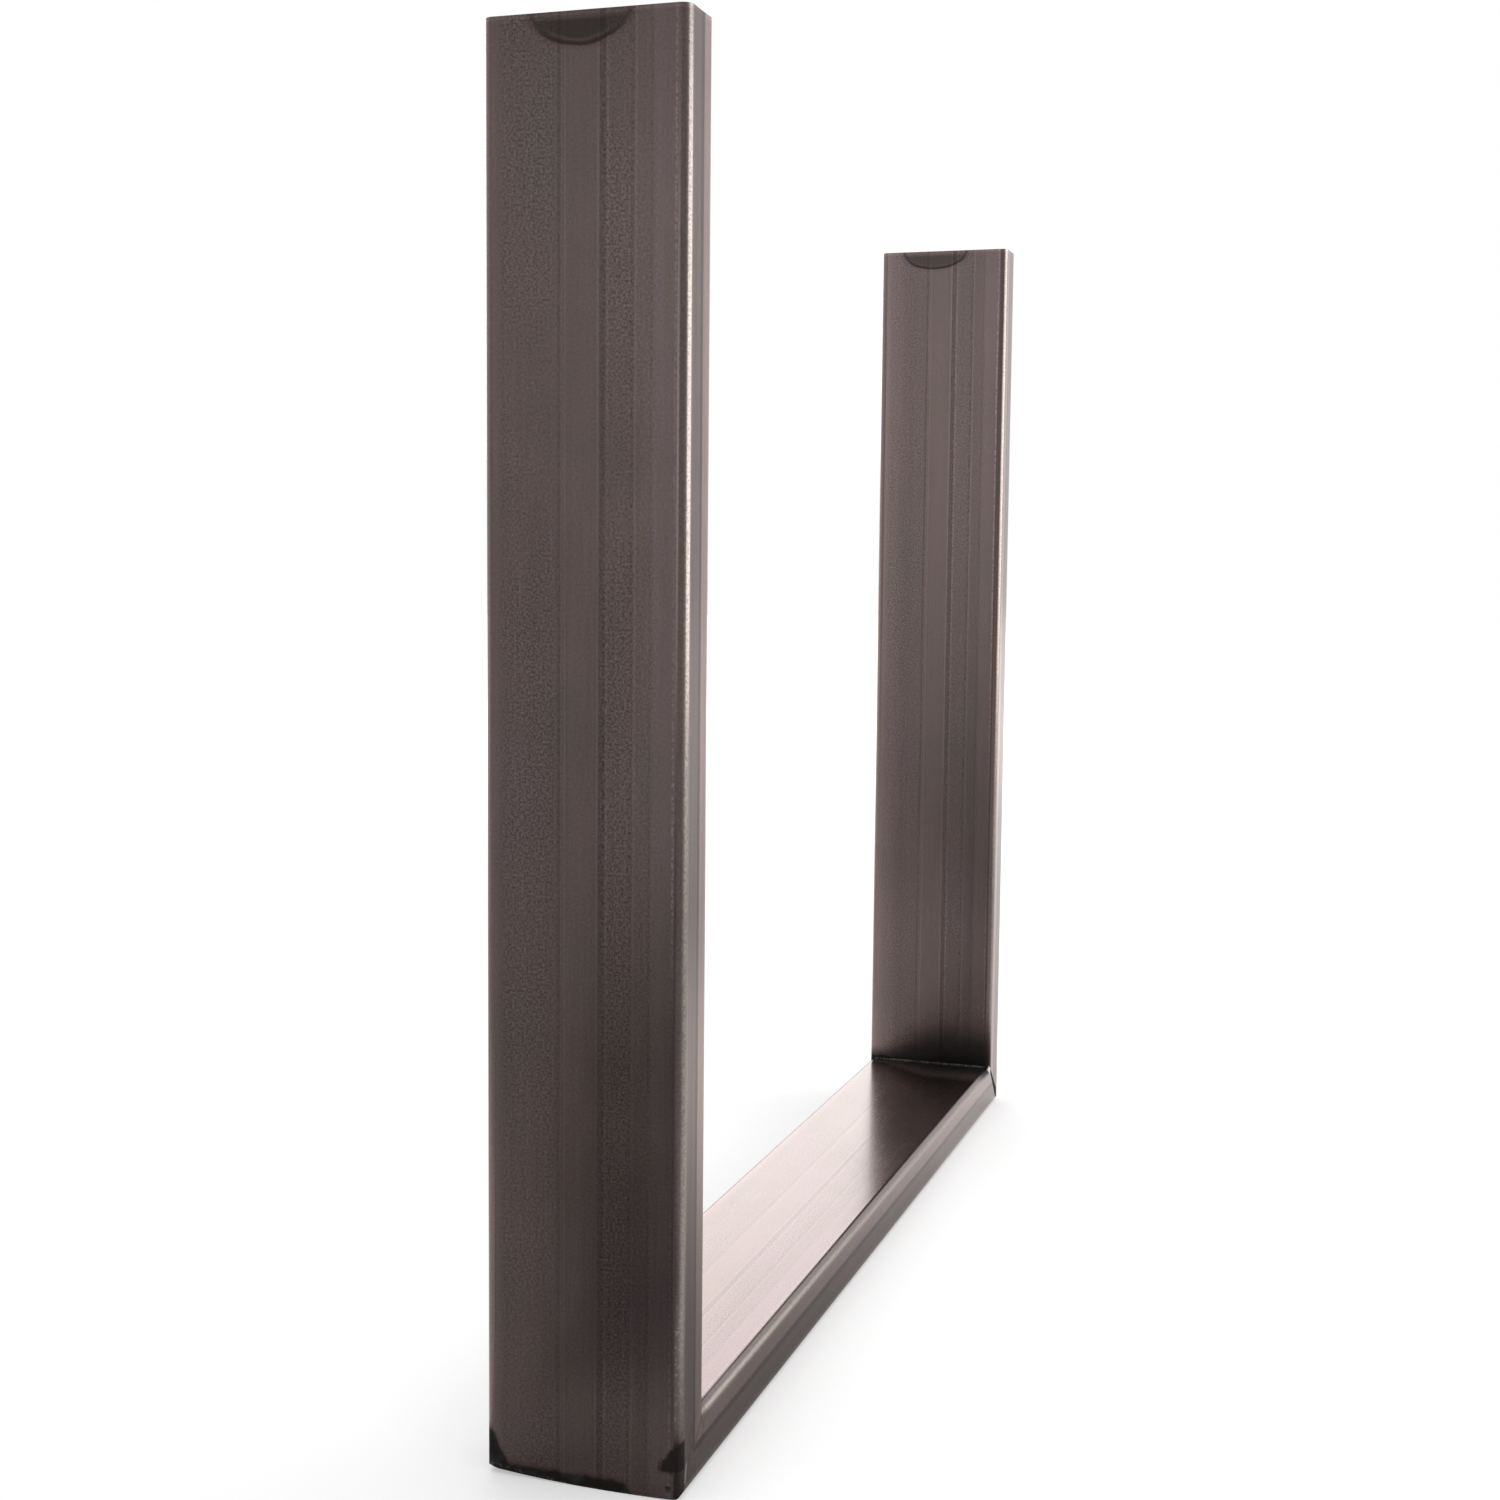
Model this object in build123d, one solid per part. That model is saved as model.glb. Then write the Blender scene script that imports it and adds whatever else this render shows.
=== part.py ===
"""A U-shaped bench leg: two uprights and a bottom rail of rectangular steel tube.

The three tubes are mitred at 45 degrees, welded, and dressed with a grinder. A tapped
plate is let into the top of each upright, so that the bench top is bolted to the leg.
X runs across the broad side of the tube, Y from the front upright to the rear one, and
Z up. The origin is on the floor, at the middle of the bottom rail.
"""

from build123d import *
import os

# Driving dimensions, in millimetres
leg_height = 410.0
leg_depth = 460.0
tube_width = 60.0
tube_thickness = 20.0
tube_wall = 2.0
tube_corner_radius = 3.0

# Corner welds: each fills the gap between two mitred ends, with a thin bead inside the corner
mitre_gap = 0.8
bead_radius = 0.9
bead_half_length = 27.4

# A drop of weld metal stands at one end of the rear bead
drop_radius = 1.3
drop_inset = 1.4
drop_behind_face = 0.2
drop_below_face = 0.4

# The outer edge of a corner was ground by hand: little at mid width, most at its -X end
ground_off_minus_x = 2.6
ground_off_middle = 0.3
ground_off_plus_x = 0.9

# Tapped plate in the mouth of each upright, for an M8 bolt
plate_thickness = 5.0
plate_recess = 0.5
plate_clearance = 0.2
plate_corner_cut = 1.4
tapping_radius = 3.4
hole_chamfer = 0.6
plate_weld_length = 25.0
plate_weld_radius = 1.6

# Places that follow from the dimensions
half_depth = leg_depth / 2
upright_centre = half_depth - tube_thickness / 2
upright_inner_face = half_depth - tube_thickness
beyond_leg = leg_height + leg_depth

FRONT, REAR = -1, 1


def filled_profile():
    return RectangleRounded(tube_width, tube_thickness, tube_corner_radius)


def tube_profile():
    void_width = tube_width - 2 * tube_wall
    void_thickness = tube_thickness - 2 * tube_wall
    return filled_profile() - RectangleRounded(
        void_width, void_thickness, tube_corner_radius - tube_wall
    )


def upright_bar(side, profile):
    """An upright with a square lower end, from the floor to the full height."""
    return Pos(0, side * upright_centre, 0) * extrude(profile, amount=leg_height)


def rail_bar(profile):
    """The bottom rail with square ends, over the full depth of the leg."""
    start = Plane(origin=(0, -half_depth, tube_thickness / 2), x_dir=(1, 0, 0), z_dir=(0, 1, 0))
    return start * extrude(profile, amount=leg_depth)


def mitre_plane(side):
    """The 45 degree plane of a corner. Its normal points into the rail."""
    return Plane(origin=(0, side * half_depth, 0), x_dir=(1, 0, 0), z_dir=(0, -side, -1))


def beyond_mitre(side, offset, toward):
    """Half of space, bounded by a plane at an offset along the mitre's normal.

    It holds the rail where toward is 1, and the upright where toward is -1.
    """
    half_space = Box(2 * beyond_leg, 2 * beyond_leg, beyond_leg)
    return mitre_plane(side).offset(offset) * Pos(0, 0, toward * beyond_leg / 2) * half_space


def ground_off(side):
    """What the grinder took from the outer edge of a corner.

    The ground surface is part of a large barrel, so that the edge keeps a slight crown. The
    top of the barrel lies off mid width, because more was taken at one end of the edge.
    """
    both_ends = (ground_off_minus_x + ground_off_plus_x) / 2 - ground_off_middle
    barrel_radius = (tube_width / 2) ** 2 / (2 * both_ends)
    lean = (ground_off_minus_x - ground_off_plus_x) / tube_width
    top_place = lean * barrel_radius
    top_depth = ground_off_middle - lean * top_place / 2
    outward = Plane(origin=(0, side * half_depth, 0), x_dir=(1, 0, 0), z_dir=(0, side, -1))
    corner_block = Box(2 * tube_width, tube_thickness, tube_thickness)
    barrel = Rot(90, 0, 0) * Cylinder(barrel_radius, 2 * tube_thickness)
    return outward * (corner_block - Pos(top_place, 0, -barrel_radius - top_depth) * barrel)


def round_ended_rod(half_length, radius):
    """A rod along X, with a ball at each end of its straight length."""
    rod = Rot(0, 90, 0) * Cylinder(radius, 2 * half_length)
    for end in (-half_length, half_length):
        rod += Pos(end, 0, 0) * Sphere(radius)
    return rod


def plate_weld(side, face):
    """A bead along a wall and the plate, ground flush. Face says which wall it joins."""
    bead = round_ended_rod(plate_weld_length / 2 - plate_weld_radius, plate_weld_radius)
    ground_away = Pos(0, 0, plate_weld_radius) * Box(
        plate_weld_length, 2 * plate_weld_radius, 2 * plate_weld_radius
    )
    wall_face = side * upright_centre + face * (tube_thickness / 2 - tube_wall)
    return Pos(0, wall_face, leg_height) * (bead - ground_away)


def upright(side):
    """A tube with its foot mitred and dressed, and its mouth cut by the two plate welds."""
    body = upright_bar(side, tube_profile())
    body -= beyond_mitre(side, -mitre_gap / 2, toward=1)
    body -= ground_off(side)
    for face in (FRONT, REAR):
        body -= plate_weld(side, face)
    return body


def bottom_rail():
    """A tube with both ends mitred and dressed."""
    body = rail_bar(tube_profile())
    for side in (FRONT, REAR):
        body -= beyond_mitre(side, mitre_gap / 2, toward=-1)
        body -= ground_off(side)
    return body


def corner_weld(side):
    """Weld metal through both tube walls, with its bead along the inside of the corner."""
    upper_half = upright_bar(side, tube_profile()) - beyond_mitre(side, 0, toward=1)
    upper_half -= beyond_mitre(side, -mitre_gap / 2, toward=-1)
    lower_half = rail_bar(tube_profile()) - beyond_mitre(side, 0, toward=-1)
    lower_half -= beyond_mitre(side, mitre_gap / 2, toward=1)

    bead = Pos(0, side * upright_inner_face, tube_thickness) * round_ended_rod(
        bead_half_length, bead_radius
    )
    if side == REAR:
        bead += Pos(
            tube_width / 2 - drop_inset,
            upright_inner_face + drop_behind_face,
            tube_thickness - drop_below_face,
        ) * Sphere(drop_radius)
    bead -= upright_bar(side, filled_profile())
    bead -= rail_bar(filled_profile())
    return upper_half + lower_half + bead - ground_off(side)


def top_plate(side):
    """The tapped plate that fills the mouth of an upright."""
    fit = 2 * (tube_wall + plate_clearance)
    plate = Box(tube_width - fit, tube_thickness - fit, plate_thickness)
    plate = chamfer(plate.edges().filter_by(Axis.Z), plate_corner_cut)
    plate -= Cylinder(tapping_radius, plate_thickness)
    hole_mouth = Cone(tapping_radius, tapping_radius + hole_chamfer, hole_chamfer)
    plate -= Pos(0, 0, (plate_thickness - hole_chamfer) / 2) * hole_mouth
    plate = Pos(0, side * upright_centre, leg_height - plate_recess - plate_thickness / 2) * plate
    for face in (FRONT, REAR):
        plate -= plate_weld(side, face)
    return plate


def leg_pieces():
    pieces = {"bottom_rail": bottom_rail()}
    for name, side in (("front", FRONT), ("rear", REAR)):
        pieces[f"{name}_upright"] = upright(side)
        pieces[f"{name}_corner_weld"] = corner_weld(side)
        pieces[f"{name}_top_plate"] = top_plate(side)
        pieces[f"{name}_plate_outer_weld"] = plate_weld(side, side)
        pieces[f"{name}_plate_inner_weld"] = plate_weld(side, -side)
    return pieces


def main():
    os.makedirs("parts", exist_ok=True)
    for name, piece in leg_pieces().items():
        export_step(piece, f"parts/{name}.step")
        print(name, "solids", len(piece.solids()), "volume in mm3", round(piece.volume, 1))


main()
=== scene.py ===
# %% [markdown]
# # A steel bench leg
# The leg is a U of flat rectangular steel tube: two uprights and a bottom rail, cut at
# 45 degrees, welded, dressed with a grinder and covered with clear lacquer. Its shape comes
# from the CAD model, which is already in place and to size. Blender adds what the metal
# looks like: the lines that the rolling mill left, the heat marks of the welds, the
# ground corners, the ripples of the weld beads and the threads in the top plates.

# %% Load the model
import math
import random

import bmesh
import bpy
from mathutils import Matrix, Vector


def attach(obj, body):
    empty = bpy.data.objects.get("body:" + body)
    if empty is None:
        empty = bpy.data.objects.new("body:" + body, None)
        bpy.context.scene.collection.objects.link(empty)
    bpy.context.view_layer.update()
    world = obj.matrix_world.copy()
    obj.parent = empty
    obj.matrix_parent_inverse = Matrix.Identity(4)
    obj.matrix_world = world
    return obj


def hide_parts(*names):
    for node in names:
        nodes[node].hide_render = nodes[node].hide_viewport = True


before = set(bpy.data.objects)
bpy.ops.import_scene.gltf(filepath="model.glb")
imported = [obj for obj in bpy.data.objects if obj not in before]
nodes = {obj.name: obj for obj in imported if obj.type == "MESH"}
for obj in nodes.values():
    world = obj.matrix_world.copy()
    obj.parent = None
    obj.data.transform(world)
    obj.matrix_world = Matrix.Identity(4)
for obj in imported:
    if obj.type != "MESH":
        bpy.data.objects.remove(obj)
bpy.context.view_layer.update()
print("CAD pieces:", ", ".join(sorted(nodes)))

# %% [markdown]
# ## The camera
# The picture of a long straight object shows at once whether the camera is right. Its place,
# its turn and its lens come from the straight edges of the leg in the photograph: the
# edges of a known box fix where a camera stood. The camera's own axes are worked out
# from three angles and put into its matrix, because a matrix leaves no doubt about the order
# in which the angles are taken.

# %% Camera
CAMERA_PLACE = Vector((0.21621, -0.74918, 0.26391))
TURN_LEFT, TILT_DOWN, ROLL = math.radians(17.905), math.radians(5.308), math.radians(0.545)
LENS_MM, SENSOR_MM = 48.96, 36.0

ahead = Vector((
    -math.sin(TURN_LEFT) * math.cos(TILT_DOWN),
    math.cos(TURN_LEFT) * math.cos(TILT_DOWN),
    -math.sin(TILT_DOWN),
))
level_right = Vector((math.cos(TURN_LEFT), math.sin(TURN_LEFT), 0))
level_up = level_right.cross(ahead)
camera_right = level_right * math.cos(ROLL) + level_up * math.sin(ROLL)
camera_up = level_up * math.cos(ROLL) - level_right * math.sin(ROLL)

lens = bpy.data.cameras.new("camera")
lens.sensor_fit, lens.sensor_width, lens.lens = "HORIZONTAL", SENSOR_MM, LENS_MM
lens.clip_start, lens.clip_end = 0.01, 100
camera = bpy.data.objects.new("camera", lens)
bpy.context.scene.collection.objects.link(camera)
axes = Matrix((camera_right, camera_up, -ahead)).transposed()
camera.matrix_world = Matrix.Translation(CAMERA_PLACE) @ axes.to_4x4()
bpy.context.scene.camera = camera
bpy.context.scene.view_settings.view_transform = "Standard"
print("camera at", [round(c, 3) for c in CAMERA_PLACE], "lens", LENS_MM, "mm")

# %% [markdown]
# ## Shader maths as expressions
# A finish is a recipe: this much darker where there is a mill line, less so where the line is
# dotted, and black-brown where the torch was. Such a recipe reads best as a sum. The class
# below wraps one socket of a shader tree, so that `1 - mask` or `shade * line` adds the
# Math nodes by itself. Every other kind of node comes from its one `node` method.

# %% A socket that can be calculated with
class Wire:
    """One socket of a shader tree. A tree's first Wire has no socket and only adds nodes."""

    def __init__(self, tree, socket=None):
        self.tree, self.socket = tree, socket

    def node(self, kind, settings=None, inputs=None, output=0):
        """Add a node: first its settings, then the values or links of its sockets."""
        made = self.tree.nodes.new(kind)
        for name, value in (settings or {}).items():
            setattr(made, name, value)
        for name, value in (inputs or {}).items():
            if isinstance(value, Wire):
                self.tree.links.new(value.socket, made.inputs[name])
            else:
                made.inputs[name].default_value = value
        return Wire(self.tree, made.outputs[output] if made.outputs else None)

    def twin(self, name):
        """Another output of the same node."""
        return Wire(self.tree, self.socket.node.outputs[name])

    def maths(self, operation, *values):
        kind = "ShaderNodeMath"
        if any(isinstance(v, tuple) for v in values):
            kind = "ShaderNodeVectorMath"
        return self.node(kind, {"operation": operation}, dict(enumerate(values)))

    def __add__(self, other):
        return self.maths("ADD", self, other)

    def __sub__(self, other):
        return self.maths("SUBTRACT", self, other)

    def __mul__(self, other):
        return self.maths("MULTIPLY", self, other)

    def __truediv__(self, other):
        return self.maths("DIVIDE", self, other)

    def __radd__(self, other):
        return self.maths("ADD", other, self)

    def __rsub__(self, other):
        return self.maths("SUBTRACT", other, self)

    def __rmul__(self, other):
        return self.maths("MULTIPLY", other, self)

    def __pow__(self, other):
        return self.maths("POWER", self, other)

    def __abs__(self):
        return self.maths("ABSOLUTE", self)


def ramp(value, start, end):
    """0 before start, 1 after end, and smooth between. Start may be the larger one."""
    sockets = {"Value": value, "From Min": start, "From Max": end}
    return value.node("ShaderNodeMapRange", {"interpolation_type": "SMOOTHSTEP"}, sockets)


def stripe(value, place, half_width, soft):
    """1 on a stripe at a place, with soft edges outside its half width."""
    return ramp(abs(value - place), half_width + soft, half_width)


def larger(a, b):
    return a.maths("MAXIMUM", a, b)


def smaller(a, b):
    return a.maths("MINIMUM", a, b)


def noise(place, stretch, detail=2.0, rough=0.5):
    """Noise from 0 to 1. Stretch gives the cycles per millimetre along X, Y and Z."""
    sockets = {"Vector": place * stretch, "Scale": 1.0, "Detail": detail, "Roughness": rough}
    return place.node("ShaderNodeTexNoise", {}, sockets)


def swing(value, amount):
    """Noise made to swing around 0, by the amount from end to end."""
    return (value - 0.5) * amount


def colour_mix(amount, first, second):
    """First where amount is 0, second where it is 1."""
    sockets = {0: amount, 6: first, 7: second}
    return amount.node("ShaderNodeMix", {"data_type": "RGBA"}, sockets, output=2)


def shaded(colour, shade):
    """A colour made lighter or darker by a factor."""
    factor = shade.node("ShaderNodeCombineColor", {}, {0: shade, 1: shade, 2: shade})
    sockets = {0: 1.0, 6: colour, 7: factor}
    settings = {"data_type": "RGBA", "blend_type": "MULTIPLY"}
    return shade.node("ShaderNodeMix", settings, sockets, output=2)


def new_material(name):
    material = bpy.data.materials.new(name)
    material.use_nodes = True
    material.node_tree.nodes.clear()
    return material, Wire(material.node_tree)


# %% [markdown]
# ## The studio
# Bare metal has hardly any colour of its own to show: what is seen on it is the room. In the
# photograph the broad faces mirror the dark side of a studio, and the top of the rail mirrors
# a bright backdrop. So the world is white to the camera, and in mirrored rays it is
# white behind the leg and grey in front of it, darkest high up. What lights matt surfaces is
# one even soft level, so that the leg also looks right elsewhere.

# %% World
# Tones from 0 to 1. All but the first are for mirrored rays.
DAYLIGHT = 0.6
FRONT_LOW, FRONT_LEVEL, FRONT_HIGH, MIRRORED_GLOW = 0.38, 0.70, 0.27, 0.54
FRONT_RIGHT, BACK_RIGHT, BACK_DIP, FAR_LEFT = 0.62, 0.56, 0.20, 0.80
GLOW_HEADING, DIP_HEADING = -0.25, -0.14


def studio_tone(heading_x, heading_y, front):
    """What mirrored rays find in a direction: white behind, grey in front, pale to the left.

    A heading runs from -1 to 1: x from left to right, y from the front to the back.
    """
    front = front + ramp(heading_x, -0.12, 0.35) * (FRONT_RIGHT - front)
    back = 1 - ramp(heading_x, 0.24, 0.34) * (1 - BACK_RIGHT)
    back = back - stripe(heading_x, DIP_HEADING, 0.06, 0.16) * BACK_DIP
    tone = front + ramp(heading_y, -0.25, 0.3) * (back - front)
    return tone + ramp(heading_x, -0.82, -0.93) * (FAR_LEFT - tone)


world = bpy.data.worlds.new("studio")
bpy.context.scene.world = world
world.use_nodes = True
world.node_tree.nodes.clear()
sky = Wire(world.node_tree)

toward = sky.node("ShaderNodeTexCoord", output="Generated")
toward_x = toward.node("ShaderNodeSeparateXYZ", {}, {0: toward})
toward_y, toward_z = toward_x.twin("Y"), toward_x.twin("Z")
front = FRONT_LOW + ramp(toward_z, -0.03, 0.19) * (FRONT_LEVEL - FRONT_LOW)
front = front + stripe(toward_x, GLOW_HEADING, 0.02, 0.07) * MIRRORED_GLOW
front = front + ramp(toward_z, 0.21, 0.31) * (FRONT_HIGH - front)
mirrored = studio_tone(toward_x, toward_y, front)
camera_ray = sky.node("ShaderNodeLightPath")
matt_light = DAYLIGHT + camera_ray.twin("Is Glossy Ray") * (mirrored - DAYLIGHT)
strength = matt_light + camera_ray * (1 - matt_light)
backdrop = sky.node("ShaderNodeBackground", {}, {"Color": (1, 1, 1, 1), "Strength": strength})
sky.node("ShaderNodeOutputWorld", {}, {"Surface": backdrop})
print("world: matt light", DAYLIGHT, "front", FRONT_LOW, FRONT_LEVEL, FRONT_HIGH)


# %% [markdown]
# Four large lamps add to that even light. Metal mirrors the shape of a lamp, so their size
# matters as much as their strength: the long strip at the side draws the bright line along the
# rounded edges, and the one behind lies in the top of the rail as a sheet of light. A lamp's
# strength is given as the tone that a mirror would show, because watts say little.

# %% Soft lamps
def soft_lamp(name, place, aim, width, height, brightness):
    """A rectangular lamp. Brightness is what a mirror would show, where white is 1."""
    light = bpy.data.lights.new(name, "AREA")
    light.shape, light.size, light.size_y = "RECTANGLE", width, height
    light.energy = brightness * math.pi * width * height
    lamp = bpy.data.objects.new(name, light)
    bpy.context.scene.collection.objects.link(lamp)
    lamp.location = place
    lamp.rotation_euler = (Vector(aim) - Vector(place)).to_track_quat("-Z", "Y").to_euler()
    lamp.visible_camera = False
    print("lamp", name, "watts", round(light.energy, 2))


MIDDLE = (0, 0, 0.15)
soft_lamp("backdrop_light", (-1.35, 2.4, 1.15), MIDDLE, 1.8, 1.5, 1.85)
soft_lamp("side_strip", (1.31, 0.555, 0.45), MIDDLE, 1.7, 0.72, 2.8)
soft_lamp("front_lamp", (-0.2, -2.5, 0.42), MIDDLE, 0.62, 0.65, 1.3)
soft_lamp("overhead", (0, -0.1, 2.4), MIDDLE, 2.2, 2.2, 0.8)

# %% [markdown]
# The floor is a pale disc. To the camera it glows a little, and further away more, so that it
# fades into the white backdrop while its own shading keeps the shadow of the leg. In mirrored
# rays its paint is as grey as the studio is on that side. Photographers do the same with
# a dark card in front of polished metal, because a white floor would wash out the face. The
# card here runs at a slant away from the foot of the leg, which is where the front face
# mirrors the floor.

# %% Floor
FLOOR_RADIUS, FLOOR_PAINT = 9.0, 0.8
CARD_TONE, CARD_LEFT, CARD_FAR, CARD_FAR_LEFT = 0.19, 0.62, 0.25, 0.50
CARD_NEAR_LEG, LEFT_OF_LEG = 0.42, 0.98
CARD_START, CARD_SLANT = -0.23, 0.415
BESIDE_LEG, BESIDE_MORE, BESIDE_SHINE = 0.37, 0.46, 0.14
GLOW_NEAR, GLOW_FAR = 0.34, 1.0

outline = [math.radians(a) for a in range(0, 360, 5)]
mesh = bpy.data.meshes.new("floor")
mesh.from_pydata(
    [(FLOOR_RADIUS * math.cos(a), FLOOR_RADIUS * math.sin(a), 0) for a in outline],
    [], [tuple(range(len(outline)))],
)
floor = bpy.data.objects.new("floor", mesh)
bpy.context.scene.collection.objects.link(floor)

floor_material, sheet = new_material("pale_floor")
spot = sheet.node("ShaderNodeTexCoord", output="Object")
spot_x = spot.node("ShaderNodeSeparateXYZ", {}, {0: spot})
spot_y = spot_x.twin("Y")
distance = spot.node("ShaderNodeVectorMath", {"operation": "LENGTH"}, {0: spot}, output="Value")
far_off = ramp(distance, 0.6, 2.6)
along_card = spot_x - (spot_y - CARD_START) * CARD_SLANT
off_card = ramp(along_card, 0.005, -0.035)
card = CARD_TONE + off_card * (CARD_LEFT - CARD_TONE)
far_card = CARD_FAR + off_card * (CARD_FAR_LEFT - CARD_FAR)
card = card + ramp(distance, 0.9, 1.4) * (far_card - card)
glow_on_card = stripe(spot_x / distance, GLOW_HEADING, 0.02, 0.05) * ramp(distance, 0.8, 1.4)
card = card + glow_on_card * MIRRORED_GLOW
card = larger(card, ramp(spot_y, -0.36, -0.28) * CARD_NEAR_LEG)
left_of_card = ramp(along_card, -0.03, -0.07) * ramp(spot_y, -0.55, -0.42)
card = larger(card, left_of_card * LEFT_OF_LEG)
tone = studio_tone(spot_x / distance, spot_y / distance, card)
lighter = larger(ramp(spot_x, 0.08, 0.2), ramp(spot_y, -0.15, 0.25))
beside_tone = BESIDE_LEG + lighter * BESIDE_MORE
beside = ramp(spot_x, 0.0, 0.05) * ramp(distance, 0.75, 0.35)
tone = tone + beside * (beside_tone - tone)
camera_ray = sheet.node("ShaderNodeLightPath")
glossy_ray = camera_ray.twin("Is Glossy Ray")
paint = FLOOR_PAINT + glossy_ray * (tone - FLOOR_PAINT)
glow = camera_ray * (GLOW_NEAR + far_off * (GLOW_FAR - GLOW_NEAR))
glow = glow + glossy_ray * (far_off * tone * tone + beside * lighter * BESIDE_SHINE)
grey = sheet.node("ShaderNodeCombineColor", {}, {0: paint, 1: paint, 2: paint})
matt = sheet.node("ShaderNodeBsdfDiffuse", {}, {"Color": grey})
shine = sheet.node("ShaderNodeEmission", {}, {"Color": (1, 1, 1, 1), "Strength": glow})
both = sheet.node("ShaderNodeAddShader", {}, {0: matt, 1: shine})
sheet.node("ShaderNodeOutputMaterial", {}, {"Surface": both})
floor.data.materials.append(floor_material)
print("floor radius", FLOOR_RADIUS, "m")

# %% [markdown]
# ## Tube steel
# The tube is rolled from strip, and everything that touched it in the mill left a line that
# runs the whole length. The lacquer keeps this dark, slightly brown surface as it is. The
# lines are at the same places on all three tubes, because they are cut from one bar, and
# their places are given in millimetres across the tube. The rest of the surface is noise,
# stretched along the tube for the streaks and even for the fine grain.

# %% Sizes of the tube, in millimetres
MM = 0.001
HALF_DEPTH, HEIGHT, THICKNESS = 230.0, 410.0, 20.0
LENGTHWISE_STRETCH = 0.02


class TubePlace:
    """Where a point is on its tube: across (x), along it, and below its outer face."""

    def __init__(self, sheet, lying, side):
        self.spot = sheet.node("ShaderNodeTexCoord", output="Object") * (1 / MM, 1 / MM, 1 / MM)
        self.x = self.spot.node("ShaderNodeSeparateXYZ", {}, {0: self.spot})
        y, z = self.x.twin("Y"), self.x.twin("Z")
        self.lying = lying
        self.along, self.depth = (y, z) if lying else (z, HALF_DEPTH - y * side)

    def corner(self, side):
        """Distances from a corner: in from the upright's outer face, and up from the floor."""
        if self.lying:
            return HALF_DEPTH - self.along * side, self.depth
        return self.depth, self.along

    def streaks(self, across, detail=3.0, rough=0.5):
        """Noise that is fine across the tube and long along it."""
        along = across * LENGTHWISE_STRETCH
        stretch = (across, along, across) if self.lying else (across, across, along)
        return noise(self.spot, stretch, detail, rough)

    def specks(self, cycles, detail=3.0, rough=0.6):
        """Noise that is equally fine in all directions."""
        return noise(self.spot, (cycles, cycles, cycles), detail, rough)


# %% [markdown]
# A surface here is built up in layers, as on the real leg: rolled steel, then what the grinder
# did, then what the torch did, and lacquer over all of it. The class below carries the
# values of a surface from layer to layer. Scale from a torch is matt and takes the shine
# with it, so a burnt layer changes the metal, the lacquer and the roughness as well as the
# colour: at a flat angle steel mirrors so much that a dark colour alone wouldn't show.

# %% A surface in layers
LACQUER, LACQUER_ROUGHNESS = 0.5, 0.15
METAL_LOST, LACQUER_LOST, BURNT_ROUGHNESS = 0.95, 0.75, 0.45
EDGE_TINT = (0.93, 0.88, 0.855, 1)


class Surface:
    def __init__(self, sheet, colour, roughness, height):
        self.sheet, self.colour, self.roughness, self.height = sheet, colour, roughness, height
        self.metal, self.lacquer = 1.0, LACQUER

    def tint(self, amount, colour):
        self.colour = colour_mix(amount, self.colour, colour)

    def shade(self, factor):
        self.colour = shaded(self.colour, factor)

    def roughen(self, amount, roughness):
        self.roughness = self.roughness + amount * (roughness - self.roughness)

    def burn(self, amount, colour):
        self.tint(amount, colour)
        self.metal = self.metal * (1 - amount * METAL_LOST)
        self.lacquer = self.lacquer * (1 - amount * LACQUER_LOST)
        self.roughen(amount, BURNT_ROUGHNESS)

    def finish(self, material):
        """Wire it up. Height is the relief in millimetres."""
        relief = self.sheet.node("ShaderNodeBump", {}, {
            "Strength": 1.0, "Distance": MM, "Height": self.height,
        })
        metal = self.sheet.node("ShaderNodeBsdfPrincipled", {}, {
            "Base Color": self.colour, "Metallic": self.metal, "Roughness": self.roughness,
            "Normal": relief, "Specular Tint": EDGE_TINT, "Specular IOR Level": 0.0,
            "Coat Weight": self.lacquer, "Coat Roughness": LACQUER_ROUGHNESS, "Coat IOR": 1.5,
        })
        self.sheet.node("ShaderNodeOutputMaterial", {}, {"Surface": metal})
        return material


# %% Colours of the metal
STEEL = (0.146, 0.107, 0.100, 1)
STEEL_PURPLE = (0.150, 0.108, 0.108, 1)
STEEL_OLIVE = (0.138, 0.107, 0.095, 1)
HEAT_BLACK = (0.0115, 0.0098, 0.0095, 1)
HEAT_BROWN = (0.034, 0.021, 0.020, 1)
HEAT_OLIVE = (0.052, 0.045, 0.040, 1)
HEAT_BLUE = (0.026, 0.028, 0.030, 1)
GROUND_STEEL = (0.26, 0.245, 0.23, 1)
# Lighter worn steel, also used for painted highlights on the rounded edges.
WORN_STEEL_AND_SHEEN = (0.46, 0.41, 0.37, 1)
# Near white: the bare steel of scratches, and the painted glint on the weld drop.
BARE_STEEL_AND_GLINT = (0.82, 0.79, 0.76, 1)

# %% Mill lines
# Place across the tube, half width, darkening (negative is lighter) and how dotted it is
MILL_LINES = (
    (-7.3, 0.40, 0.24, 0.6),
    (-6.6, 0.15, -0.20, 0.9),
    (-5.5, 0.18, -0.24, 0.2),
    (4.1, 0.24, -0.26, 0.2),
    (5.4, 0.80, 0.30, 0.5),
    (6.9, 0.20, -0.34, 0.9),
    (14.0, 0.40, 0.20, 0.9),
    (15.0, 0.20, -0.24, 0.4),
    (19.6, 0.20, 0.10, 0.2),
    (26.5, 0.25, -0.60, 0.9),
    (28.4, 0.40, 0.18, 0.3),
)


# Wider bands: place, half width, softness and strength
SPECKLED_BANDS = ((-16.5, 6.5, 3.0, 1.0), (10.0, 3.4, 1.5, 1.0), (18.0, 2.0, 3.0, 0.4))
# The first light band lies on the rounded edge at -X and is a painted highlight there. The
# other two are lighter tone of the steel.
LIGHT_BANDS_AND_SHEEN = ((-29.0, 1.5, 4.0, 0.22), (-0.7, 3.6, 1.0, 0.05), (23.2, 2.2, 1.6, 0.14))
LINE_SOFTNESS = 0.25


def total(parts):
    """The sum of a list of Wires."""
    return sum(parts[1:], parts[0])


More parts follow.
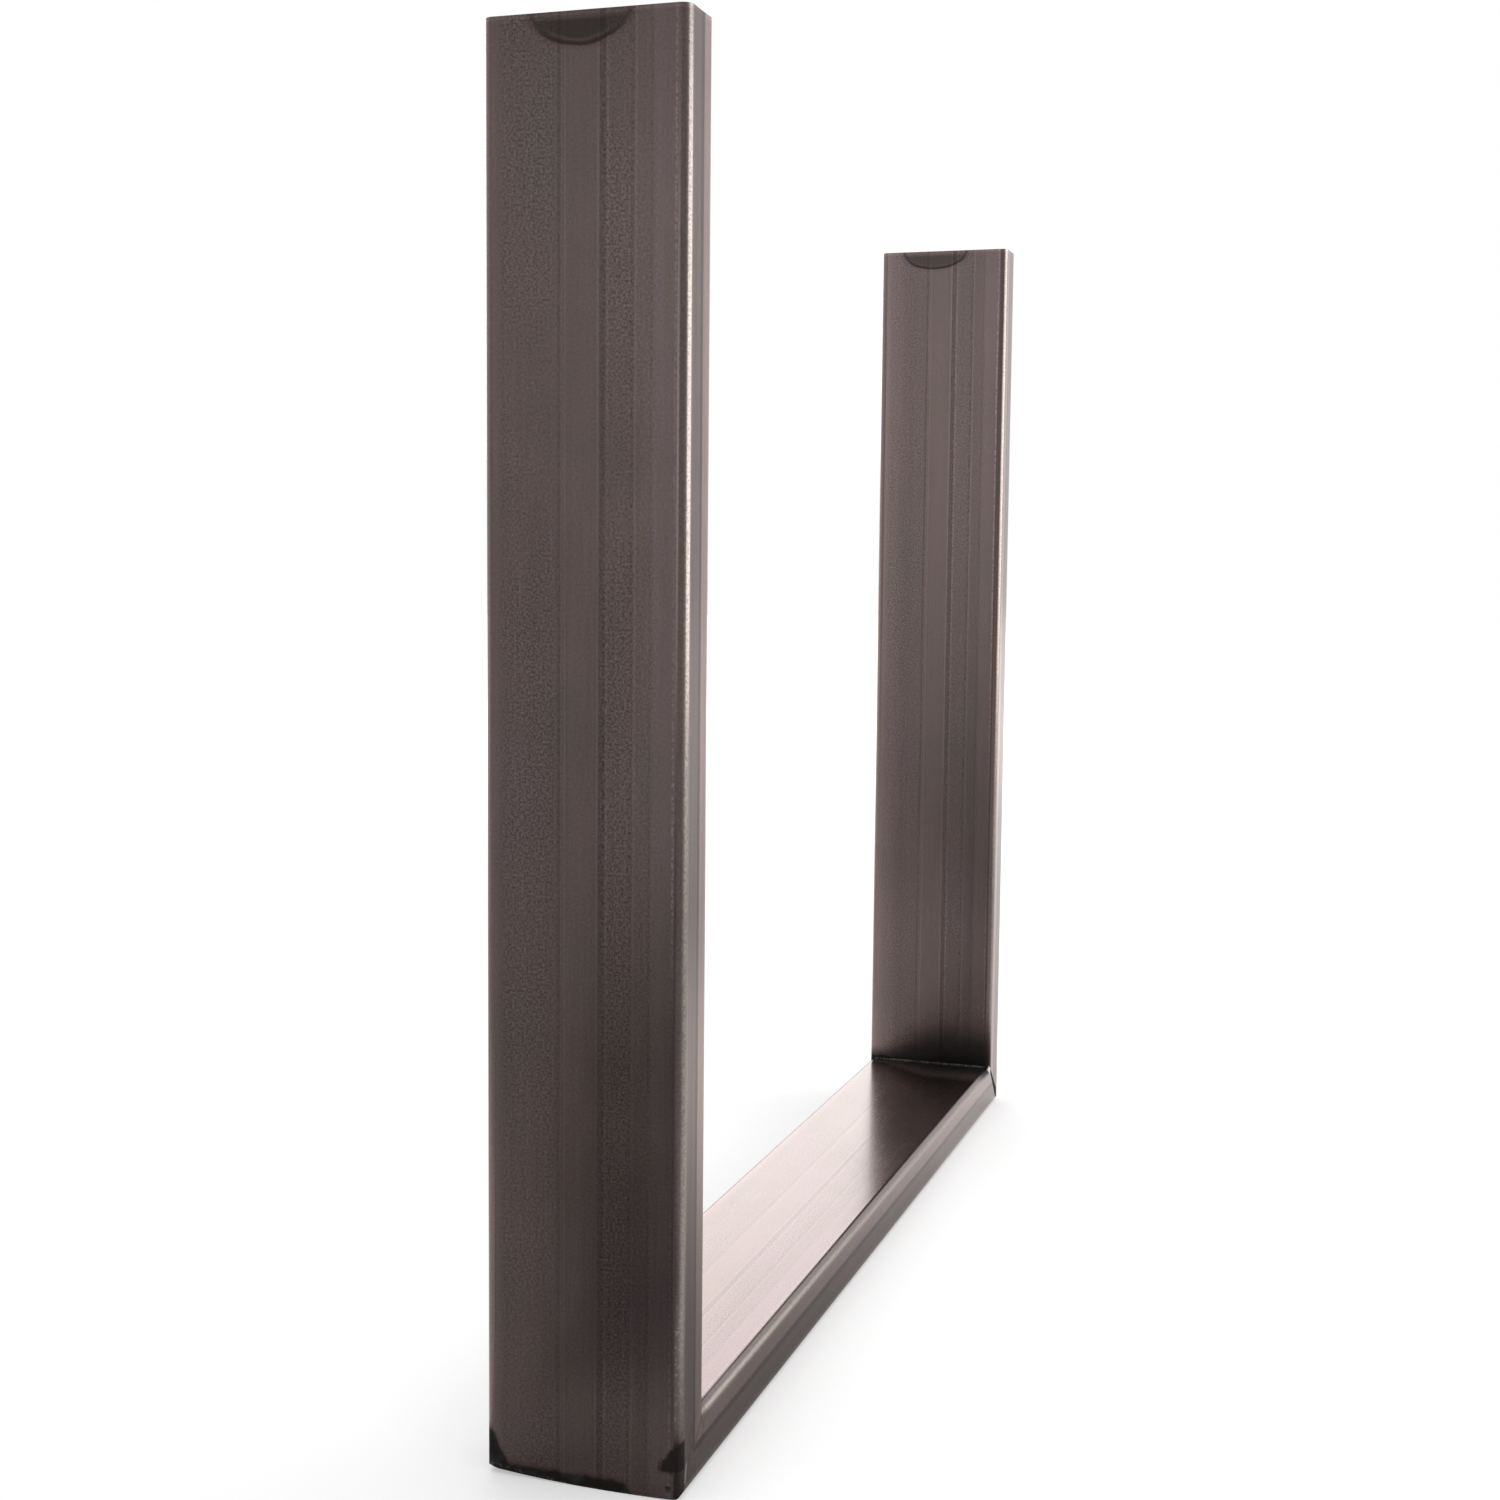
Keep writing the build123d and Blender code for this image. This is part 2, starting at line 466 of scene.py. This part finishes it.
def mill_lines(x, dots):
    """How much all lines together darken the surface."""
    return total([
        stripe(x, at, half_width, LINE_SOFTNESS)
        * (darkening * (1 - dotted) + dots * (darkening * dotted))
        for at, half_width, darkening, dotted in MILL_LINES
    ])


def wide_bands(x, table):
    """All bands of a table together."""
    return total([
        stripe(x, at, half_width, soft) * strength for at, half_width, soft, strength in table
    ])


# %% The rolled surface
def rolled_steel(sheet, place):
    x = place.x
    bands, streaks = place.streaks(0.11), place.streaks(0.9, 4.0, 0.65)
    hairlines = place.streaks(4.0, 2.0, 0.6)
    grain = ramp(place.specks(1.4, 3.0, 0.8), 0.36, 0.64)
    clouds = place.specks(0.03, 2.0, 0.5)
    dots = ramp(place.specks(0.9, 1.0), 0.42, 0.58)

    patches = ramp(noise(place.spot, (0.05, 0.05, 0.02)), 0.35, 0.62)
    coarse = wide_bands(x, SPECKLED_BANDS) * (0.35 + patches * 0.65)
    lines = mill_lines(x, dots) * (0.5 if place.lying else 1.0)
    shade = 1 - lines + swing(bands, 0.30) + swing(streaks, 0.32) + swing(hairlines, 0.24)
    shade = shade + swing(grain, 0.28 + coarse * 0.60) + swing(clouds, 0.24)
    shade = shade + wide_bands(x, LIGHT_BANDS_AND_SHEEN)

    side_lines = noise(place.spot, (0.1, 0.008, 0.42) if place.lying else (0.1, 0.42, 0.008))
    on_side = ramp(abs(x), 28.8, 29.9)
    # Painted sheen on the narrow sides: a lighter strip toward the inner edge, with a thin
    # darker line before it, stands in for light caught by the side's slight curve.
    side_sheen = stripe(place.depth, 15.2, 2.6, 0.8)
    side_sheen = side_sheen - stripe(place.depth, 10.9, 0.5, 0.6) * 0.4
    shade = shade + on_side * (swing(side_lines, 0.9) + side_sheen * 1.3)
    by_edge = ramp(abs(place.depth - THICKNESS / 2), 5.8, 7.4)
    edge_wear_and_highlight = ramp(abs(x), 28.9, 29.6) * by_edge

    hue = noise(place.spot, (0.045, 0.045, 0.018), 3.0, 0.6)
    purple = larger(ramp(hue, 0.50, 0.68), stripe(x, 23.2, 2.5, 3.0))
    colour = colour_mix(purple, STEEL, STEEL_PURPLE)
    colour = colour_mix(ramp(hue, 0.46, 0.32), colour, STEEL_OLIVE)

    roughness = 0.26 + swing(clouds, 0.10) + swing(streaks, 0.05) + lines * 0.15
    height = swing(streaks, 0.00025) + swing(bands, 0.006)
    height = height + swing(grain, 0.00005 + coarse * 0.0002) - lines * 0.001
    surface = Surface(sheet, colour, roughness, height)
    surface.shade(shade)
    # On the rounded edges this worn tint is partly real wear and partly a painted highlight,
    # which widens the bright line along each edge.
    surface.tint(edge_wear_and_highlight * (0.20 + grain * 0.36), WORN_STEEL_AND_SHEEN)
    return surface


# %% [markdown]
# ## Heat marks
# Where a weld went in from the other side, the wall glowed for a moment and the mill skin
# turned dark. At the top middle of each broad face this left a half moon with a brown rim and
# a thin light ring inside it. The half moon is drawn as a distance: the place is divided by
# the half width and by the depth of the mark, and its length is 1 on the rim.

# %% Half moon at the top
MOONS = {-1: (-1.3, 14.7, 9.2, 0.62), 1: (-4.2, 15.4, 8.3, 0.22)}


def half_moon(surface, place, side):
    """Centre, half width, depth and darkness of the mark differ from upright to upright."""
    centre, half_width, deep, darkness = MOONS[side]
    wobble = swing(place.specks(0.16, 1.0), 0.09)
    reach = ((place.x - centre) / half_width) ** 2.0
    drop = ((HEIGHT - place.along) / deep) ** 2.0
    radius = (reach + drop) ** 0.5 + wobble
    inside, ring = ramp(radius, 0.97, 0.90), stripe(radius, 0.83, 0.02, 0.05)
    rim = ramp(radius, 0.89, 0.94) * ramp(radius, 1.03, 0.98)
    low_side = ramp(drop, 0.1, 0.6)
    halo = ramp(radius, 1.20, 0.98)
    near_top = ramp(drop, 0.09, 0.02)
    spared = larger(ramp(reach, 0.1, 0.6) * 0.3, near_top * 0.45)
    surface.burn(inside * (1 - spared) * darkness, HEAT_OLIVE)
    surface.shade(
        1 - halo * 0.18 - inside * (0.25 - near_top * 0.35) + ring * low_side * darkness * 0.5
    )
    surface.burn(rim * (0.45 + low_side * 0.4), HEAT_BROWN)


# %% [markdown]
# ## Welded corners
# Each corner was welded all round, so the steel next to the seam is burnt: black-brown
# inside the corner, and along the outer edge a dark band that climbs up at one end. A
# corner is described by two distances, in from the outer face of the upright and
# up from the floor, so that one set of marks serves the upright and the rail alike.

# %% Burnt places inside a corner
def inner_heat(place, x, inward, up, side):
    """Strongest on the seam inside the corner. At the rear it reaches further toward +X."""
    ragged = swing(place.specks(0.12), 5)
    from_seam = larger(inward, up) - THICKNESS + ragged
    reach = 7 + (ramp(x, -27, 8) * 22 if side > 0 else ramp(abs(x), 27, 12) * 7)
    inside_face = ramp(smaller(inward, up), THICKNESS - 3.5, THICKNESS - 0.4)
    wide = ramp(from_seam / reach, 1.1, 0.0) * (0.6 + ramp(x, -27, 8) * 0.4)
    near_seam = ramp(from_seam, 3.2, 0.4) * 0.95
    if side < 0:
        inside_face = inside_face * ramp(x, 29.5, 26.5)
    return larger(wide, near_seam) * inside_face


# %% Burnt places along the outer edge of a corner
def burnt_band(place, x, inward, up):
    """A black band along the edge, climbing at the -X end."""
    ragged = swing(place.specks(0.3, 4.0), 3.0)
    top = 4.1 + ramp(x, -22.3, -28.6) * 9.2 - ramp(x, 12.0, 16.5) * 3.6
    on_face = ramp(inward, 3.4, 2.6)
    above = up - top + ragged
    return ramp(above, 0.7, -1.3) * on_face, ramp(above, 2.2, 0.2) * on_face


def burnt_claw(place, x, inward, up):
    """A ragged claw at the +X end, which goes on over the rounded edge, and a spot under it."""
    ragged = swing(place.specks(0.45, 4.0, 0.7), 7.0)
    border = 22.4 + (up - 8.0) ** 2.0 * 0.075
    claw = ramp(x - border + ragged, -0.6, 2.0)
    claw = claw * ramp(up + ragged * 0.3, 6.8, 8.8) * ramp(up, 20.0, 17.0)
    arc = ramp(x + ragged * 0.1, 27.2, 28.2) * ramp(up + ragged * 0.4, 18.8, 16.0)
    spot_off = ((x - 26.2) ** 2.0 + (up - 3.6) ** 2.0) ** 0.5
    blot = ramp(spot_off + ragged * 0.25, 1.6, 0.4)
    return larger(larger(claw, arc * 0.9), blot * 0.9) * ramp(inward, 3.8, 3.0)


# %% Ground and blended metal
BARREL_RADIUS, BARREL_PLACE, BARREL_DEPTH = 310.3, 8.8, 0.176
GROUND_ROUGHNESS = 0.36


def ground_edge(x, inward, up):
    """1 on the facet that the grinder left along the outer edge of a corner."""
    sideways = x - BARREL_PLACE
    facet = BARREL_DEPTH + BARREL_RADIUS - (BARREL_RADIUS ** 2 - sideways * sideways) ** 0.5
    return ramp((inward + up) * math.sqrt(0.5) - facet, 0.22, 0.06)


def blended_side(place, x, inward, up):
    """1 beside the seam on a narrow side, where the disc went over weld and tube."""
    from_seam = abs(inward - up) + swing(place.specks(0.1, 2.0), 8)
    on_side = ramp(abs(x), 28.5, 29.6) * ramp(inward, THICKNESS + 6, THICKNESS)
    return ramp(from_seam, 13, 6) * on_side


def open_seam(x, inward, up):
    """1 on the dark line that is left where the side of the rear corner wasn't filled flush."""
    width = 1.2 + ramp(up, THICKNESS, 0) * 1.8
    within = ramp(up, THICKNESS + 0.5, THICKNESS - 0.5) * ramp(abs(x), 28.4, 29.2)
    return ramp(abs(inward - up), width + 0.3, width) * within


# %% All marks of a corner
DROP_PLACE, DROP_SHAPE, DROP_ROUGHNESS = (29.0, 210.6, 18.8), (1.5, 2.0, 2.1), 0.16


def bare_drop_and_glint(place):
    """1 on the drop of weld metal at the +X end of the rear bead, which ran down the seam. Its
    near white tint is partly a painted glint.
    """
    off = (place.spot - DROP_PLACE) / DROP_SHAPE
    size = off.node("ShaderNodeVectorMath", {"operation": "LENGTH"}, {0: off}, "Value")
    return ramp(size, 1.05, 0.8)


def corner_marks(surface, place, side):
    """All marks of the corner on one side of the leg, in the order in which they came."""
    x = place.x
    inward, up = place.corner(side)
    scrub = noise(place.spot, (1.2, 0.25, 0.25), 3.0, 0.6)
    ground = ground_edge(x, inward, up)
    surface.tint(ground * (0.25 + scrub * 0.5), GROUND_STEEL)
    surface.roughen(ground, GROUND_ROUGHNESS)
    heat = inner_heat(place, x, inward, up, side)
    surface.shade(1 - ramp(heat, 0.1, 0.8) * 0.55)
    surface.burn(heat, HEAT_BLACK)
    band, rim = burnt_band(place, x, inward, up)
    bare = ramp(scrub, 0.50, 0.62) * ground
    blued = ramp(place.specks(0.11, 2.0), 0.48, 0.66)
    surface.burn(rim * 0.45, HEAT_BROWN)
    surface.burn(band * (0.94 - bare * 0.6), colour_mix(blued, HEAT_BLACK, HEAT_BLUE))
    surface.burn(burnt_claw(place, x, inward, up) * 0.94, HEAT_BLACK)
    if side < 0:
        blended = blended_side(place, x, inward, up)
        mottled = ramp(noise(place.spot, (0.2, 0.16, 0.16), 3.0, 0.6), 0.42, 0.62)
        surface.shade(1 - blended * mottled * 0.35)
        surface.roughen(blended, GROUND_ROUGHNESS)
        scratch = stripe(inward - up * 0.25, 2.6, 0.15, 0.3) * stripe(up, 7.0, 2.0, 1.5)
        surface.tint(scratch * ramp(x, 28.5, 29.5) * 0.9, BARE_STEEL_AND_GLINT)
        flaked = ramp(x, 27.6, 28.2) * ramp(inward, 3.4, 2.2)
        flaked = flaked * ramp(up, 17, 24) * ramp(up, 66, 40)
        chips = ramp(place.specks(0.9, 3.0, 0.7), 0.54, 0.62)
        surface.tint(flaked * (0.35 + chips * 0.5), WORN_STEEL_AND_SHEEN)
    else:
        surface.burn(open_seam(x, inward, up), HEAT_BLACK)
        drop = bare_drop_and_glint(place)
        # The drop is painted near white: bare weld metal with a painted glint on it.
        surface.tint(drop, BARE_STEEL_AND_GLINT)
        surface.metal = larger(drop, surface.metal)
        surface.roughen(drop, DROP_ROUGHNESS)


# %% [markdown]
# ## Three tubes, one recipe
# The saw left the top ends bright, with fine arcs across the wall. Each tube has a material of
# its own, because the marks lie at other places on each, but all three are put together from
# the same functions, so the steel looks the same on every tube.

# %% Finish of the tubes
def sawn_end(surface, place):
    """The saw left the top end bright, with fine arcs across the wall. Just below the top edge
    a thin painted highlight lines the rim.
    """
    cut = ramp(place.along, HEIGHT - 0.12, HEIGHT - 0.02)
    # A thin lighter line just below the top edge is a painted highlight, where the rounded rim
    # catches the light.
    surface.shade(1 + stripe(place.along, HEIGHT - 0.7, 0.2, 0.5) * 0.3)
    saw = noise(place.spot, (2.6, 0.3, 0.1), 3.0, 0.6)
    surface.tint(cut * (0.55 + saw * 0.4), GROUND_STEEL)
    surface.height = surface.height + cut * swing(saw, 0.02)
    surface.roughen(cut, 0.34)


def finish_upright(name, side):
    material, sheet = new_material(name)
    place = TubePlace(sheet, False, side)
    surface = rolled_steel(sheet, place)
    if side > 0:
        # Painted sheen: the left part of the rear upright's face is made lighter, standing in
        # for brighter reflected light there.
        surface.shade(1 + stripe(place.x, -29.0, 2.0, 12.0) * 0.36)
    half_moon(surface, place, side)
    corner_marks(surface, place, side)
    sawn_end(surface, place)
    return surface.finish(material)


def finish_rail(name):
    material, sheet = new_material(name)
    place = TubePlace(sheet, True, 1)
    surface = rolled_steel(sheet, place)
    # Along the rail's upper rounded edge at +X a lighter rubbed tint: partly rubbed metal and
    # partly a painted highlight.
    rubbed_and_sheen = ramp(place.x, 27.4, 28.4) * ramp(place.depth, 16.8, 18.2)
    surface.tint(rubbed_and_sheen * (0.15 + place.specks(0.8) * 0.35), WORN_STEEL_AND_SHEEN)
    surface.roughen(rubbed_and_sheen, 0.40)
    corner_marks(surface, place, -1)
    corner_marks(surface, place, 1)
    return surface.finish(material)


def give(node, material):
    for holder in nodes[node].material_slots:
        holder.material = material


give("front_upright", finish_upright("front_upright_steel", -1))
give("rear_upright", finish_upright("rear_upright_steel", 1))
give("bottom_rail", finish_rail("rail_steel"))

# %% [markdown]
# ## Weld metal
# The weld through the walls is dressed flush, and only its colour and its scratches tell it
# from the tube. Inside a corner it was left as it was laid: a thin bead of overlapping
# crescents. It could be a bump on a plain rod, but its outline shows against the steel, so
# it is real shape: rings of points along the seam, each a little larger or smaller than the
# last one, and each pushed back at its middle so that the crescents point along the seam.

# %% Finish of the welds
WELD = (0.125, 0.100, 0.094, 1)
LAID_WELD = (0.070, 0.062, 0.059, 1)


def finish_corner_weld(name, side):
    material, sheet = new_material(name)
    place = TubePlace(sheet, False, side)
    grain, scrub = place.specks(0.95, 4.0, 0.75), noise(place.spot, (1.2, 0.3, 0.3), 3.0, 0.6)
    colour = colour_mix(scrub, WELD, STEEL)
    surface = Surface(sheet, colour, 0.30 + swing(grain, 0.2), swing(grain, 0.006))
    surface.shade(1 + swing(grain, 0.5))
    corner_marks(surface, place, side)
    return surface.finish(material)


def finish_laid_weld(name):
    material, sheet = new_material(name)
    place = TubePlace(sheet, True, 1)
    blotches, grain = place.specks(0.35), place.specks(2.4)
    colour = colour_mix(ramp(blotches, 0.62, 0.40), LAID_WELD, HEAT_BLACK)
    surface = Surface(sheet, colour, 0.34 + swing(grain, 0.2), swing(grain, 0.02))
    return surface.finish(material)


def finish_dressed_weld(name):
    material, sheet = new_material(name)
    place = TubePlace(sheet, False, 1)
    scrub = noise(place.spot, (0.4, 2.2, 0.4), 3.0, 0.6)
    pores = ramp(place.specks(1.1, 2.0), 0.66, 0.74)
    colour = colour_mix(scrub, WELD, GROUND_STEEL)
    height = swing(scrub, 0.02) - pores * 0.05
    surface = Surface(sheet, colour, 0.32 + swing(scrub, 0.2), height)
    surface.burn(pores * 0.9, HEAT_BLACK)
    return surface.finish(material)


laid_weld = finish_laid_weld("laid_weld")
dressed_weld = finish_dressed_weld("dressed_weld")
for corner, side in (("front", -1), ("rear", 1)):
    give(corner + "_corner_weld", finish_corner_weld(corner + "_seam", side))
    give(corner + "_plate_outer_weld", dressed_weld)
    give(corner + "_plate_inner_weld", dressed_weld)


# %% Bead with its ripples
BEAD_HALF_LENGTH, BEAD_RADIUS, RIPPLE_HEIGHT, RIPPLE_PITCH = 27.6, 0.95, 0.14, 1.5
RING_POINTS, RING_SPACING = 20, 0.16
SEED, DRIFTS, SIZE_DRIFT, THINNEST = 7, 60, 0.05, 0.02
CRESCENT_BOW, CRESCENT_TOP = 0.35, math.radians(135)


def mesh_object(name, shape, material):
    """Turn a bmesh into a smooth piece that rides on the leg."""
    mesh = bpy.data.meshes.new(name)
    bmesh.ops.recalc_face_normals(shape, faces=shape.faces)
    shape.to_mesh(mesh)
    shape.free()
    for face in mesh.polygons:
        face.use_smooth = True
    mesh.materials.append(material)
    piece = bpy.data.objects.new(name, mesh)
    bpy.context.scene.collection.objects.link(piece)
    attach(piece, "root")
    return piece


def skin(shape, rings, closed):
    """Faces between neighbouring rings of points, and from the last to the first if closed."""
    last = len(rings) if closed else len(rings) - 1
    for i in range(last):
        lower, upper = rings[i], rings[(i + 1) % len(rings)]
        for k in range(len(lower)):
            n = (k + 1) % len(lower)
            shape.faces.new((lower[k], lower[n], upper[n], upper[k]))


def rippled_bead(name, side):
    chance = random.Random(SEED + side)
    drift = [chance.uniform(-1, 1) for _ in range(DRIFTS)]
    shape = bmesh.new()
    rings = []
    count = int(2 * BEAD_HALF_LENGTH / RING_SPACING)
    for i in range(count + 1):
        x = -BEAD_HALF_LENGTH + 2 * BEAD_HALF_LENGTH * i / count
        step = (x + BEAD_HALF_LENGTH) / RIPPLE_PITCH
        size = BEAD_RADIUS + SIZE_DRIFT * drift[int(step)]
        end_drop = min(1.0, (BEAD_HALF_LENGTH - abs(x)) / BEAD_RADIUS)
        size *= math.sqrt(max(THINNEST, 1 - (1 - end_drop) ** 2))
        ring = []
        for k in range(RING_POINTS):
            turn = 2 * math.pi * k / RING_POINTS
            crescent = (step + CRESCENT_BOW * math.cos(turn - CRESCENT_TOP)) % 1
            radius = size + RIPPLE_HEIGHT * (1 - crescent) * crescent * 4 * end_drop
            across = Vector((0, -side * math.sin(turn), -math.cos(turn))) * radius
            ring.append(shape.verts.new(Vector((
                x, side * (HALF_DEPTH - THICKNESS) + across.y, THICKNESS + across.z,
            )) * MM))
        rings.append(ring)
    skin(shape, rings, closed=False)
    shape.faces.new(rings[0])
    shape.faces.new(list(reversed(rings[-1])))
    return mesh_object(name, shape, laid_weld)


for corner, side in (("front", -1), ("rear", 1)):
    bead = rippled_bead(corner + "_bead", side)
    print(bead.name, "triangles", sum(len(f.vertices) - 2 for f in bead.data.polygons))

# %% [markdown]
# ## Threaded plates
# The bench top is bolted to a plate in the mouth of each upright. The CAD model has a plain
# hole at the tapping size, which is right for the bolt's room but not for the eye. The plate
# is rebuilt here with its M8 thread: the hole's wall is a grid of points, and the radius
# of each comes from how far the thread has climbed at that angle.

# %% Plate with an M8 thread
PITCH, CREST_RADIUS, ROOT_RADIUS, CREST_FLAT = 1.25, 3.35, 3.98, 0.25
PLATE_TOP, PLATE_BOTTOM = 409.5, 404.5
PLATE_HALF_LENGTH, PLATE_HALF_WIDTH, PLATE_CORNER, PLATE_EDGE = 27.8, 7.8, 1.4, 0.25
MOUTH_RADIUS, MOUTH_DEPTH = 4.2, 0.7
THREAD_ROWS, THREAD_COLUMNS = 72, 96
SHARP_ANGLE, LEVEL, TINY = math.radians(30), 0.99, 1e-9


def thread_radius(turn, z):
    """Radius of the hole's wall at an angle and a height."""
    climb = (z / PITCH - turn / (2 * math.pi)) % 1
    flank = max(0.0, abs(climb - 0.5) * 2 - CREST_FLAT) / (1 - CREST_FLAT)
    thread = CREST_RADIUS + (ROOT_RADIUS - CREST_RADIUS) * flank
    from_end = min(PLATE_TOP - z, z - PLATE_BOTTOM)
    return max(thread, MOUTH_RADIUS - from_end * (MOUTH_RADIUS - CREST_RADIUS) / MOUTH_DEPTH)


def plate_outline(turn, inset):
    """The plate's edge in a direction from the middle of its hole."""
    c, s = abs(math.cos(turn)), abs(math.sin(turn))
    length, width = PLATE_HALF_LENGTH - inset, PLATE_HALF_WIDTH - inset
    reach = min(
        length / max(c, TINY), width / max(s, TINY), (length + width - PLATE_CORNER) / (c + s)
    )
    return reach * math.cos(turn), reach * math.sin(turn)


def plate_turns():
    """Even angles, and the angles of the eight corners of the plate."""
    turns = [2 * math.pi * k / THREAD_COLUMNS for k in range(THREAD_COLUMNS)]
    for a, b in ((0, PLATE_CORNER), (PLATE_CORNER, 0)):
        corner = math.atan2(PLATE_HALF_WIDTH - a, PLATE_HALF_LENGTH - b)
        turns += [corner, math.pi - corner, math.pi + corner, 2 * math.pi - corner]
    return sorted(turns)


def threaded_plate(name, side, material):
    turns = plate_turns()
    shape = bmesh.new()
    middle = Vector((0, side * (HALF_DEPTH - THICKNESS / 2), 0))

    def ring(place_at):
        return [shape.verts.new((middle + Vector(place_at(t))) * MM) for t in turns]

    rings = []
    for row in range(THREAD_ROWS + 1):
        z = PLATE_BOTTOM + (PLATE_TOP - PLATE_BOTTOM) * row / THREAD_ROWS
        rings.append(ring(lambda t: (
            thread_radius(t, z) * math.cos(t), thread_radius(t, z) * math.sin(t), z
        )))
    for z, inset in (
        (PLATE_TOP, PLATE_EDGE), (PLATE_TOP - PLATE_EDGE, 0),
        (PLATE_BOTTOM + PLATE_EDGE, 0), (PLATE_BOTTOM, PLATE_EDGE),
    ):
        rings.append(ring(lambda t: (*plate_outline(t, inset), z)))
    skin(shape, rings, closed=True)
    plate = mesh_object(name, shape, material)
    plate.data.set_sharp_from_angle(angle=SHARP_ANGLE)
    for face in plate.data.polygons:
        face.use_smooth = abs(face.normal.z) < LEVEL
    return plate


# %% Finish of the plates
PLATE_STEEL = (0.30, 0.275, 0.26, 1)


def finish_plate(name):
    material, sheet = new_material(name)
    place = TubePlace(sheet, True, 1)
    drawn, grain = noise(place.spot, (0.05, 2.5, 1.0), 3.0, 0.6), place.specks(1.5)
    heat = ramp(abs(place.x), 17.0, 8.0) * 0.45
    colour = colour_mix(heat, PLATE_STEEL, HEAT_OLIVE)
    height = swing(drawn, 0.006) + swing(grain, 0.004)
    surface = Surface(sheet, colour, 0.3 + swing(drawn, 0.15), height)
    surface.shade(1 + swing(drawn, 0.5) + swing(grain, 0.3))
    return surface.finish(material)


plate_finish = finish_plate("drawn_plate")
for corner, side in (("front", -1), ("rear", 1)):
    plate = threaded_plate(corner + "_threaded_plate", side, plate_finish)
    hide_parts(corner + "_top_plate")
    print(plate.name, "triangles", sum(len(f.vertices) - 2 for f in plate.data.polygons))
